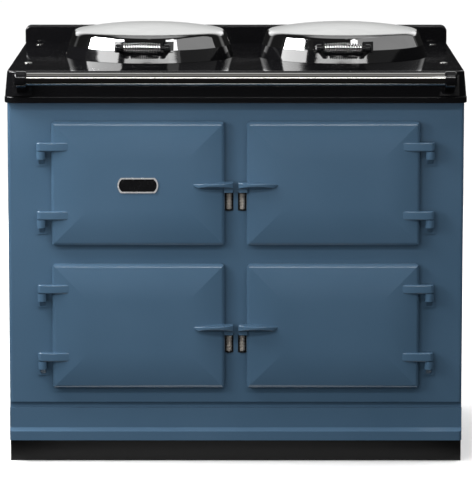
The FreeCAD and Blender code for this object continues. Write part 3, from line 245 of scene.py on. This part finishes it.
def turned_iron(name, centres):
    """Machined and seasoned iron: fine rings turned about each plate's own middle."""
    s = Shader(name, (0.09, 0.085, 0.08), metallic=0.8)
    ring_radians = 4200.0    # per metre, so the rings are 1.5 mm apart
    plate_reach = 0.2
    rings = None
    for centre in centres:
        offset = s.node("VectorMath", {0: s.place, 1: centre}, operation="SUBTRACT").outputs[0]
        flat = s.node("VectorMath", {0: offset, 1: (1.0, 1.0, 0.0)}, operation="MULTIPLY").outputs[0]
        distance = s.node("VectorMath", {0: flat}, operation="LENGTH").outputs["Value"]
        wave = s.math("SINE", s.math("MULTIPLY", distance, ring_radians))
        near = s.math("LESS_THAN", distance, plate_reach)
        wave = s.math("MULTIPLY", wave, near)
        rings = wave if rings is None else s.math("ADD", rings, wave)
    season = s.noise(9.0, 5.0, distortion=0.6)
    darker = s.ramp(season, 0.35, 0.7, 0.0, 1.0)
    s.drive("Base Color", s.blend(darker, (0.06, 0.055, 0.05), (0.13, 0.125, 0.12)))
    s.drive("Roughness", s.ramp(season, 0.3, 0.75, 0.3, 0.5))
    s.bump(rings, 0.00003, 0.5)
    return s.material


def painted_board(name, colour):
    """Satin black paint on the plinth boards, with a faint brushed grain and scuffs."""
    s = Shader(name, colour, specular_ior_level=0.25)
    grain = s.noise(1.0, 4.0, where=s.stretched((6.0, 6.0, 420.0)))
    scuffs = s.ramp(s.noise(30.0, 5.0, 0.7), 0.62, 0.8, 0.0, 0.5)
    brushed = s.blend(grain, tint(colour, 0.8), tint(colour, 1.2))
    s.drive("Base Color", s.blend(scuffs, brushed, tint(colour, 1.9)))
    s.drive("Roughness", s.ramp(grain, 0.3, 0.7, 0.38, 0.5))
    s.bump(grain, 0.00005, 0.5)
    return s.material


def moulded_plastic(name, colour):
    """Black moulded controls with a fine spark texture."""
    s = Shader(name, colour, specular_ior_level=0.5)
    grain = s.noise(1800.0, 3.0)
    s.drive("Base Color", s.blend(s.ramp(s.noise(40.0, 3.0), 0.4, 0.7, 0.0, 1.0), colour, tint(colour, 1.4)))
    s.drive("Roughness", s.ramp(grain, 0.3, 0.7, 0.3, 0.42))
    s.bump(grain, 0.00003, 0.7)
    return s.material


def braided_rope(name, colour):
    """Glass fibre rope: crossed yarns all the way round the seal."""
    s = Shader(name, colour, sheen_weight=0.2)
    crossed = []
    for slant in (0.7, -0.7):
        turned = s.node("Mapping", {"Vector": s.place, "Rotation": (0.0, slant, 0.0)}).outputs["Vector"]
        bands = s.node("TexWave", {
            "Vector": turned, "Scale": 130.0, "Distortion": 1.2,
        }, bands_direction="X")
        crossed.append(bands.outputs["Fac"])
    yarns = s.math("MULTIPLY", *crossed)
    s.drive("Base Color", s.blend(yarns, tint(colour, 0.45), tint(colour, 1.3)))
    s.drive("Roughness", s.ramp(yarns, 0.0, 1.0, 0.95, 0.8))
    s.bump(yarns, 0.0008, 0.8)
    return s.material


def mineral_fill(name):
    """Loose mineral wool."""
    s = Shader(name, (0.5, 0.46, 0.38))
    fibres = s.noise(260.0, 6.0, 0.75, distortion=2.0)
    s.drive("Base Color", s.blend(fibres, (0.3, 0.27, 0.21), (0.62, 0.58, 0.48)))
    s.drive("Roughness", s.ramp(fibres, 0.3, 0.7, 0.9, 1.0))
    s.bump(fibres, 0.0015, 0.8)
    return s.material


crown_below_top = 0.0185
rail_above_hob = 0.005
badge_rim_depth = 0.0006
blue = (0.062, 0.116, 0.181)
blue_deep = (0.053, 0.103, 0.163)
hotplate_centres = []
for side in ("left", "right"):
    low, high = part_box("hotplate_" + side)
    hotplate_centres.append(((low.x + high.x) / 2, (low.y + high.y) / 2, 0.0))

materials = {
    "plinth_paint": painted_board("plinth_paint", (0.007, 0.007, 0.007)),
    "steel": polished_metal("steel", (0.56, 0.55, 0.53), 0.22, (300.0, 300.0, 300.0)),
    "raw_iron": raw_casting("raw_iron", (0.05, 0.047, 0.044), 0.75),
    "blue_enamel": vitreous_enamel("blue_enamel", blue, blue_deep, 0.14),
    "galvanised": sheet_metal("galvanised", (0.46, 0.48, 0.5), 0.38, 75.0, 0.14),
    "black_enamel": black_enamel("black_enamel", 0.07, 0.0005),
    "machined_iron": turned_iron("machined_iron", hotplate_centres),
    "bright_steel": worn_steel("bright_steel", (0.54, 0.50, 0.45)),
    "insulation_fill": mineral_fill("insulation_fill"),
    "chrome": chrome_plate(
        "chrome",
        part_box("lid_dome_left")[1].z - crown_below_top,
        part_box("top_plate")[1].z + rail_above_hob,
    ),
    "black_cast": black_enamel("black_cast", 0.1, 0.0012),
    "oven_iron": speckled_enamel("oven_iron", (0.022, 0.021, 0.02)),
    "catch_black": raw_casting("catch_black", (0.008, 0.008, 0.008), 0.5),
    "badge_metal": badge_finish("badge_metal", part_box("badge_plate")[0].y + badge_rim_depth),
    "aluminised": sheet_metal("aluminised", (0.55, 0.55, 0.54), 0.34, 600.0, 0.05),
    "seal_rope": braided_rope("seal_rope", (0.3, 0.28, 0.25)),
    "knob_black": moulded_plastic("knob_black", (0.012, 0.012, 0.012)),
    "coil_steel": polished_metal("coil_steel", (0.62, 0.62, 0.62), 0.16, (500.0, 500.0, 500.0)),
}

for subpart in frame["record"]["subparts"]:
    mesh = nodes[subpart["node"]].data
    mesh.materials.clear()
    mesh.materials.append(materials[subpart["material_slot"]])


# ---- small pieces ----

def ring_stack(name, rings, segments=24):
    """Rings from the bottom up, each (radius, height, corners); 0 corners make it round, 6 a hexagon."""
    bm = bmesh.new()
    levels = []
    for radius, height, corners in rings:
        level = []
        for i in range(segments):
            angle = 2 * math.pi * i / segments
            r = radius
            if corners:
                half = math.pi / corners
                r = radius * math.cos(half) / math.cos((angle % (2 * half)) - half)
            level.append(bm.verts.new((r * math.cos(angle), r * math.sin(angle), height)))
        levels.append(level)
    for lower, upper in zip(levels, levels[1:]):
        for i in range(segments):
            j = (i + 1) % segments
            bm.faces.new((lower[i], lower[j], upper[j], upper[i]))
    bm.faces.new(list(reversed(levels[0])))
    bm.faces.new(levels[-1])
    mesh = bpy.data.meshes.new(name)
    bm.to_mesh(mesh)
    bm.free()
    for polygon in mesh.polygons:
        polygon.use_smooth = True
    return mesh


def screw_head(radius, height):
    """A pan head with a hexagon socket."""
    return ring_stack("screw_head", [
        (radius * 0.92, 0.0, 0), (radius, height * 0.12, 0), (radius, height * 0.45, 0),
        (radius * 0.9, height * 0.82, 0), (radius * 0.72, height, 0), (radius * 0.5, height, 0),
        (radius * 0.46, height * 0.96, 6), (radius * 0.44, height * 0.35, 6),
    ])


def domed_rivet(radius, height):
    """A low round head."""
    steps = 5
    tip_radius = 0.00002
    rings = []
    for i in range(steps + 1):
        angle = math.pi / 2 * i / steps
        rings.append((radius * math.cos(angle) + tip_radius, height * math.sin(angle), 0))
    return ring_stack("domed_rivet", rings)


def flat_cap(radius, height):
    """A turned cap with a bevelled rim and a shallow dish in its top."""
    return ring_stack("flat_cap", [
        (radius, 0.0, 0), (radius, height * 0.6, 0), (radius * 0.93, height, 0),
        (radius * 0.7, height, 0), (radius * 0.62, height * 0.75, 0), (radius * 0.1, height * 0.7, 0),
    ], 40)


def scattered(name, head, places, normal, body, slot):
    """One piece with the same head at each place, facing along the normal, riding on a body."""
    turn = Vector((0, 0, 1)).rotation_difference(Vector(normal)).to_matrix().to_4x4()
    bm = bmesh.new()
    for place in places:
        start = len(bm.verts)
        bm.from_mesh(head)
        bm.verts.ensure_lookup_table()
        bmesh.ops.transform(bm, matrix=Matrix.Translation(place) @ turn, verts=bm.verts[start:])
    mesh = bpy.data.meshes.new(name)
    bm.to_mesh(mesh)
    bm.free()
    mesh.materials.append(materials[slot])
    piece = bpy.data.objects.new(name, mesh)
    scene.collection.objects.link(piece)
    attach(piece, body)


def hob_caps():
    """Four small caps in the hob's corners."""
    _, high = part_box("top_plate")
    side_inset = 0.041
    front_y, rear_y = -0.130, 0.310
    places = [(sx * (high.x - side_inset), y, high.z) for sx in (-1, 1) for y in (front_y, rear_y)]
    scattered("hob_caps", flat_cap(0.0085, 0.0014), places, (0, 0, 1), "carcass", "steel")


def back_screws():
    """Screws round the back panel's edge."""
    low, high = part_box("back_panel")
    inset = 0.014
    places = []
    rows = 5
    for i in range(rows):
        z = low.z + inset + (high.z - low.z - 2 * inset) * i / (rows - 1)
        places += [(low.x + inset, high.y, z), (high.x - inset, high.y, z)]
    for x in (-0.24, 0.0, 0.24):
        places += [(x, high.y, low.z + inset), (x, high.y, high.z - inset)]
    scattered("back_panel_screws", screw_head(0.0045, 0.0026), places, (0, 1, 0), "carcass", "steel")


def hinge_block_screws():
    """A screw in each end of the lid hinges' feet."""
    low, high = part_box("lid_hinge_blocks")
    pins_low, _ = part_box("lid_hinge_pins")
    foot_half = 0.042
    foot_height = 0.006
    screw_x = 0.0375
    screw_behind_pin = 0.022
    centres = (low.x + foot_half, high.x - foot_half)
    y = pins_low.y + screw_behind_pin
    places = [(x + sx * screw_x, y, low.z + foot_height) for x in centres for sx in (-1, 1)]
    scattered("lid_hinge_screws", screw_head(0.0034, 0.0024), places, (0, 0, 1), "carcass", "steel")


def control_marks():
    """Tick marks round each control and a pointer line on its grip."""
    ticks, ticks_between = 11, math.radians(27)
    long_tick, short_tick, every = 0.0045, 0.0028, 5
    tick_gap = 0.006
    mark_thickness = 0.0004
    shaft_behind_panel = 0.0155
    for number in (1, 2, 3):
        name = "control_knob_%d" % number
        low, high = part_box(name)
        centre = Vector(((low.x + high.x) / 2, 0.0, (low.z + high.z) / 2))
        radius = (high.x - low.x) / 2
        panel = Matrix.Translation(centre + Vector((0, high.y - shaft_behind_panel, 0)))
        bm = bmesh.new()
        for i in range(ticks):
            length = long_tick if i % every == 0 else short_tick
            turn = Matrix.Rotation(math.pi / 2 - ticks_between * i, 4, "Y")
            out = Matrix.Translation((radius + tick_gap, 0, 0))
            shape = Matrix.Diagonal((length, mark_thickness, 0.0011, 1.0))
            bmesh.ops.create_cube(bm, size=1.0, matrix=panel @ turn @ out @ shape)
        add_marks(name + "_ticks", bm, "carcass")
        bm = bmesh.new()
        line = Matrix.Translation((centre.x, low.y, centre.z + radius * 0.55))
        shape = Matrix.Diagonal((0.0014, mark_thickness, radius * 0.7, 1.0))
        bmesh.ops.create_cube(bm, size=1.0, matrix=line @ shape)
        add_marks(name + "_pointer", bm, name + "_body")


def add_marks(name, bm, body):
    """Pale printed marks as one piece."""
    mesh = bpy.data.meshes.new(name)
    bm.to_mesh(mesh)
    bm.free()
    mesh.materials.append(mark_paint)
    piece = bpy.data.objects.new(name, mesh)
    scene.collection.objects.link(piece)
    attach(piece, body)


def plug_rivets():
    """Rivets near the corners of each door's inner panel."""
    for row in ("top", "bottom"):
        for side in ("left", "right"):
            place = row + "_" + side
            low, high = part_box("door_plug_" + place)
            inset = 0.055
            places = [
                (x, high.y, z)
                for x in (low.x + inset, (low.x + high.x) / 2, high.x - inset)
                for z in (low.z + inset, high.z - inset)
            ]
            scattered("plug_rivets_" + place, domed_rivet(0.005, 0.0018), places, (0, 1, 0),
                      "door_" + place + "_body", "steel")


def painted_mark():
    """Pale ink for the controls' marks."""
    s = Shader("mark_paint", (0.6, 0.6, 0.58), roughness=0.5)
    s.drive("Base Color", s.blend(s.noise(700.0, 2.0), (0.52, 0.52, 0.5), (0.66, 0.66, 0.64)))
    return s.material


mark_paint = painted_mark()
hob_caps()
back_screws()
hinge_block_screws()
control_marks()
plug_rivets()


# ---- studio ----

def disc(name, radius, height, material):
    """A flat round piece of floor."""
    mesh = bpy.data.meshes.new(name)
    bm = bmesh.new()
    bmesh.ops.create_circle(bm, cap_ends=True, segments=96, radius=radius)
    bm.to_mesh(mesh)
    bm.free()
    mesh.materials.append(material)
    piece = bpy.data.objects.new(name, mesh)
    piece.location.z = height
    scene.collection.objects.link(piece)
    return piece


def softbox(name, place, target, size, radiance, glossy=True):
    """A softbox facing the target, where radiance 1 is white; the camera never sees it."""
    data = bpy.data.lights.new(name, "AREA")
    data.shape = "RECTANGLE"
    data.size, data.size_y = size
    data.energy = math.pi * size[0] * size[1] * radiance
    light = bpy.data.objects.new(name, data)
    light.location = place
    light.rotation_euler = (Vector(target) - Vector(place)).to_track_quat("-Z", "Y").to_euler()
    light.visible_camera = False
    light.visible_glossy = glossy
    scene.collection.objects.link(light)


def world_light():
    """Dark at the horizon, dim overhead and a bright wall behind, all by the direction looked in."""
    wall_glow, ceiling_glow, dark_glow = 1.15, 0.3, 0.012
    world = bpy.data.worlds.new("studio")
    world.use_nodes = True
    scene.world = world
    tree = world.node_tree

    def node(kind, *inputs, **settings):
        made = tree.nodes.new("ShaderNode" + kind)
        for key, value in settings.items():
            setattr(made, key, value)
        for socket, value in zip(made.inputs, inputs):
            if isinstance(value, bpy.types.NodeSocket):
                tree.links.new(value, socket)
            else:
                socket.default_value = value
        return made.outputs[0]

    place = tree.nodes.new("ShaderNodeTexCoord").outputs["Generated"]
    parts = tree.nodes.new("ShaderNodeSeparateXYZ")
    tree.links.new(place, parts.inputs[0])

    def step(axis, low, high):
        return node("MapRange", parts.outputs[axis], low, high, 0.0, 1.0, interpolation_type="SMOOTHSTEP")

    wall = node("Math", step("Z", 0.17, 0.26), step("Y", 0.6, 0.9), operation="MULTIPLY")
    wall = node("Math", wall, wall_glow, operation="MULTIPLY")
    ceiling = node("Math", step("Z", 0.84, 0.94), ceiling_glow, operation="MULTIPLY")
    glow = node("Math", wall, ceiling, operation="MAXIMUM")
    glow = node("Math", glow, dark_glow, operation="ADD")
    background = tree.nodes["Background"]
    tree.links.new(glow, background.inputs["Strength"])
    background.inputs["Color"].default_value = (1.0, 1.0, 1.0, 1.0)


def studio():
    """A pale floor, soft light from above, softboxes and a few fills that stay out of reflections."""
    floor_paint = Shader("floor_paint", (0.86, 0.86, 0.86), roughness=0.9)
    floor_paint.drive("Base Color", floor_paint.blend(
        floor_paint.noise(3.0, 3.0), (0.85, 0.85, 0.85), (0.87, 0.87, 0.87)))
    near = disc("floor_near", 0.45, 0.0, floor_paint.material)
    near.scale.x = 1.5
    near.visible_diffuse = False
    wide = disc("floor_wide", 60.0, -0.0005, floor_paint.material)
    wide.visible_glossy = False
    wide.visible_diffuse = False

    sun = bpy.data.lights.new("overhead", "SUN")
    sun.energy = 3.6
    sun.angle = math.radians(70)
    overhead = bpy.data.objects.new("overhead", sun)
    overhead.rotation_euler = (math.radians(-6), math.radians(-8), 0)
    overhead.visible_glossy = False
    scene.collection.objects.link(overhead)

    lids = (-0.1, 0.04, 0.92)
    front = (0.0, -0.3, 0.5)
    right_side = (0.49, 0.1, 0.5)
    back = (0.0, 0.38, 0.5)
    softbox("softbox_left", (-1.26, -0.40, 1.5), lids, (1.2, 0.5), 15.0)
    softbox("key", (-1.75, -1.7, 1.3), front, (0.8, 0.8), 10.0, glossy=False)
    softbox("fill", (-0.4, -3.2, 0.8), front, (2.5, 1.2), 3.3, glossy=False)
    softbox("strip_front", (0.0, -2.4, 2.15), (0.0, 0.0, 0.9), (3.6, 0.22), 11.0)
    softbox("strip_right", (0.513, -1.02, 1.6), (-1.0, -0.97, 1.6), (0.575, 0.8), 1.6)
    softbox("card_right", (0.637, -0.216, 1.35), (-1.0, 0.21, 1.35), (1.066, 0.75), 0.25)
    softbox("fill_side", (3.0, 0.75, 1.3), right_side, (1.5, 1.6), 3.5, glossy=False)
    softbox("fill_back", (-0.3, 3.4, 1.3), back, (2.4, 1.6), 4.0, glossy=False)
    world_light()


studio()


# ---- camera ----

camera_data = bpy.data.cameras.new("camera")
camera_data.sensor_width = 36.0
camera_data.lens = 259.65
camera_data.clip_end = 200.0
camera = bpy.data.objects.new("camera", camera_data)
camera.location = (0.00876, -7.68022, 1.58480)
camera.rotation_euler = (math.pi / 2 - 0.14805, 0.0, 0.0011)
scene.collection.objects.link(camera)
scene.camera = camera
